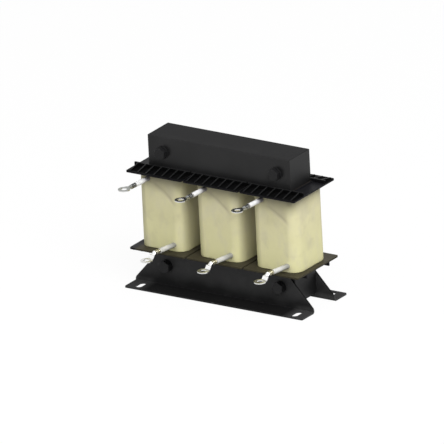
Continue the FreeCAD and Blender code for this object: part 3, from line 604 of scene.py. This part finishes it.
def growPiece(name, tree, points, edges, sizes):
    # Runs a tree on points and edges, and keeps its result as a plain mesh
    mesh = bpy.data.meshes.new(name + "Path")
    mesh.from_pydata([tuple(point) for point in points], edges, [])
    path = bpy.data.objects.new(name + "Path", mesh)
    bpy.context.scene.collection.objects.link(path)
    modifier = path.modifiers.new("grow", "NODES")
    modifier.node_group = tree
    for item in tree.interface.items_tree:
        if item.in_out == "INPUT" and item.name in sizes:
            modifier[item.identifier] = sizes[item.name]
    result = bpy.data.meshes.new_from_object(path.evaluated_get(bpy.context.evaluated_depsgraph_get()))
    result.name = name
    path.modifiers.remove(modifier)
    bpy.data.objects.remove(path)
    piece = bpy.data.objects.new(name, result)
    bpy.context.scene.collection.objects.link(piece)
    return piece


# Braided sleeves on the leads: a tube along each lead, a little flared at the coil
def makeSleeveTree():
    tree, given, out = newTree("leadSleeve", {
        "Radius": sleeve["diameter"] / 2, "Flare": sleeve["flare"], "Rings": sleeve["rings"],
        "Around": sleeve["around"], "Seed": 1})
    curve = addNode(tree, "GeometryNodeMeshToCurve", Mesh=given["Geometry"]).outputs[0]
    curve = addNode(tree, "GeometryNodeResampleCurve", Curve=curve, Count=given["Rings"]).outputs[0]
    spline = addNode(tree, "GeometryNodeSplineParameter").outputs
    curve = addNode(tree, "GeometryNodeStoreNamedAttribute", {"data_type": "FLOAT"}, Geometry=curve,
                    Name="run", Value=spline["Length"]).outputs[0]
    flare = calculate(tree, "POWER", remap(tree, spline["Factor"], 0.0, sleeve["flareShare"], 1.0, 0.0), 2.0)
    flare = calculate(tree, "MULTIPLY", flare, given["Flare"])
    wobble = addNode(tree, "ShaderNodeTexNoise", {"noise_dimensions": "4D"}, W=given["Seed"],
                     Scale=sleeve["wobbleScale"], Detail=1.0).outputs["Fac"]
    wobble = remap(tree, wobble, *noiseSpan, -sleeve["wobble"], sleeve["wobble"])
    radius = calculate(tree, "ADD", calculate(tree, "ADD", given["Radius"], flare), wobble)
    profile = addNode(tree, "GeometryNodeCurvePrimitiveCircle", Resolution=given["Around"],
                      Radius=1.0).outputs["Curve"]
    profile = addNode(tree, "GeometryNodeStoreNamedAttribute", {"data_type": "FLOAT"}, Geometry=profile,
                      Name="around", Value=spline["Factor"]).outputs[0]
    tube = addNode(tree, "GeometryNodeCurveToMesh", Curve=curve, Profile_Curve=profile, Scale=radius,
                   Fill_Caps=True).outputs[0]
    return closeTree(tree, out, tube, "sleeve_white")


sleeveTree = makeSleeveTree()
for number, (level, side) in enumerate((level, side) for level in levels for side in sides):
    # The line runs from the middle of the CAD sleeve's mouth at the coil to the middle of the other
    spots = np.array([vertex.co for vertex in nodes[f"lead_sleeve_{level}_{side}"].data.vertices])
    rear = spots[spots[:, 1] > spots[:, 1].max() - sleeve["mouth"]].mean(0)
    front = spots[spots[:, 1] < spots[:, 1].min() + sleeve["mouth"]].mean(0)
    piece = growPiece(f"white_sleeve_{level}_{side}", sleeveTree, [rear, front], [(0, 1)], {
        "Radius": sleeve["diameter"] / 2, "Flare": sleeve["flare"], "Rings": sleeve["rings"],
        "Around": sleeve["around"], "Seed": number})
    piece.data.polygons.foreach_set("use_smooth", [True] * len(piece.data.polygons))
    addToScene(piece, "sleeve_white", f"lead_sleeve_{level}_{side}")
print("sleeves ready")


# The thread that shows past each nut: a ridge wound round the bolt's end
thread = {"radius": 0.00295, "pitch": 0.001, "ridge": 0.00034, "points": 48}


def makeThreadTree():
    tree, given, out = newTree("boltThread", {
        "Radius": thread["radius"], "Pitch": thread["pitch"], "Ridge": thread["ridge"], "Length": 0.002,
        "Points": thread["points"]})
    turns = calculate(tree, "DIVIDE", given["Length"], given["Pitch"])
    spiral = addNode(tree, "GeometryNodeCurveSpiral", Resolution=given["Points"], Rotations=turns,
                     Start_Radius=given["Radius"], End_Radius=given["Radius"],
                     Height=given["Length"]).outputs[0]
    profile = addNode(tree, "GeometryNodeCurvePrimitiveCircle", Resolution=4,
                      Radius=given["Ridge"]).outputs["Curve"]
    ridge = addNode(tree, "GeometryNodeCurveToMesh", Curve=spiral, Profile_Curve=profile,
                    Fill_Caps=True).outputs[0]
    placed = addNode(tree, "GeometryNodeInstanceOnPoints", Points=given["Geometry"], Instance=ridge,
                     Rotation=(-math.pi / 2, 0, 0)).outputs[0]
    return closeTree(tree, out, placed, "black_fastener")


threadTree = makeThreadTree()
for level in levels:
    starts = []
    for side in ("left", "right"):
        nutLow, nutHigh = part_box(f"yoke_nut_{level}_{side}")
        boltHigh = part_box(f"yoke_bolt_{level}_{side}")[1]
        starts.append(((nutLow.x + nutHigh.x) / 2, nutHigh.y, (nutLow.z + nutHigh.z) / 2))
    piece = growPiece(f"bolt_threads_{level}", threadTree, starts, [], {
        "Radius": thread["radius"], "Pitch": thread["pitch"], "Ridge": thread["ridge"],
        "Length": boltHigh.y - starts[0][1] - thread["ridge"], "Points": thread["points"]})
    piece.data.polygons.foreach_set("use_smooth", [False] * len(piece.data.polygons))
    addToScene(piece, "black_fastener")
print("threads ready")


# Floor and light
studio = {"floorHalf": 3.0, "floorHeight": -0.0002, "floorGlow": 0.94,
          "paleFloor": (0.95, 0.95, 0.95), "greyFloor": (0.35, 0.35, 0.35), "frontSky": 0.12, "rearSky": 0.75,
          "keyPlace": (2.1, -1.43, 2.6), "keyPower": 157.0, "keySize": 2.4,
          "fillPlace": (-0.75, -1.4, 1.35), "fillPower": 10.0, "fillSize": 1.6, "aim": (0.0, 0.0, 0.07)}


def directlySeen(tree):
    # 1 where the camera looks straight at the background, in a reflection or through glass
    path = addNode(tree, "ShaderNodeLightPath").outputs
    seen = calculate(tree, "MAXIMUM", path["Is Camera Ray"], path["Is Glossy Ray"])
    return calculate(tree, "MAXIMUM", seen, path["Is Transmission Ray"])


def makeStudio():
    half = studio["floorHalf"]
    mesh = bpy.data.meshes.new("floor")
    low = studio["floorHeight"]
    corners = [(-half, -half, low), (half, -half, low), (half, half, low), (-half, half, low)]
    mesh.from_pydata(corners, [], [(0, 1, 2, 3)])
    floor = bpy.data.objects.new("floor", mesh)
    bpy.context.scene.collection.objects.link(floor)
    material = bpy.data.materials.new("floorPaper")
    material.use_nodes = True
    tree = material.node_tree
    tree.nodes.remove(tree.nodes["Principled BSDF"])
    seen = directlySeen(tree)
    paint = mixColour(tree, seen, studio["greyFloor"], studio["paleFloor"])
    matte = addNode(tree, "ShaderNodeBsdfDiffuse", Color=paint).outputs[0]
    glow = addNode(tree, "ShaderNodeEmission", Color=(1, 1, 1, 1), Strength=1.0).outputs[0]
    share = calculate(tree, "MULTIPLY", seen, studio["floorGlow"])
    floorMix = addNode(tree, "ShaderNodeMixShader", at0=share, at1=matte, at2=glow).outputs[0]
    tree.links.new(floorMix, tree.nodes["Material Output"].inputs[0])
    mesh.materials.append(material)

    world = bpy.data.worlds.new("studio")
    bpy.context.scene.world = world
    world.use_nodes = True
    tree = world.node_tree
    sky = tree.nodes["Background"]
    sky.inputs[0].default_value = (1, 1, 1, 1)
    towards = addNode(tree, "ShaderNodeTexCoord").outputs["Generated"]  # in the world, a direction
    rearward = addNode(tree, "ShaderNodeSeparateXYZ", Vector=towards).outputs["Y"]
    tree.links.new(remap(tree, rearward, -0.1, 0.9, studio["frontSky"], studio["rearSky"]), sky.inputs[1])
    white = addNode(tree, "ShaderNodeBackground", Color=(1, 1, 1, 1), Strength=1.0).outputs[0]
    skyMix = addNode(tree, "ShaderNodeMixShader", at0=directlySeen(tree), at1=sky.outputs[0],
                     at2=white).outputs[0]
    tree.links.new(skyMix, tree.nodes["World Output"].inputs[0])


def addLamp(name, spot, power, size):
    data = bpy.data.lights.new(name, "AREA")
    data.energy = power
    data.size = size
    lamp = bpy.data.objects.new(name, data)
    lamp.location = spot
    lamp.rotation_euler = (Vector(studio["aim"]) - Vector(spot)).to_track_quat("-Z", "Y").to_euler()
    bpy.context.scene.collection.objects.link(lamp)


makeStudio()
addLamp("keyLamp", studio["keyPlace"], studio["keyPower"], studio["keySize"])
addLamp("fillLamp", studio["fillPlace"], studio["fillPower"], studio["fillSize"])


# The photograph's own view: from the front right and above, parallel, rolled a little
view = {"right": (0.83588, 0.54697, -0.04662), "up": (-0.15607, 0.31820, 0.93511),
        "width": 0.39275, "centreRight": -0.01227, "centreUp": 0.06103, "distance": 1.6, "farClip": 20}


def makeCamera():
    right = Vector(view["right"]).normalized()
    back = right.cross(Vector(view["up"])).normalized()
    up = back.cross(right)
    data = bpy.data.cameras.new("camera")
    data.type = "ORTHO"
    data.ortho_scale = view["width"]
    data.clip_end = view["farClip"]
    camera = bpy.data.objects.new("camera", data)
    spot = right * view["centreRight"] + up * view["centreUp"] + back * view["distance"]
    turned = Matrix((right, up, back)).transposed().to_4x4()
    camera.matrix_world = Matrix.Translation(spot) @ turned
    bpy.context.scene.collection.objects.link(camera)
    bpy.context.scene.camera = camera


makeCamera()
bpy.context.scene.view_settings.view_transform = "Standard"
print("studio ready")
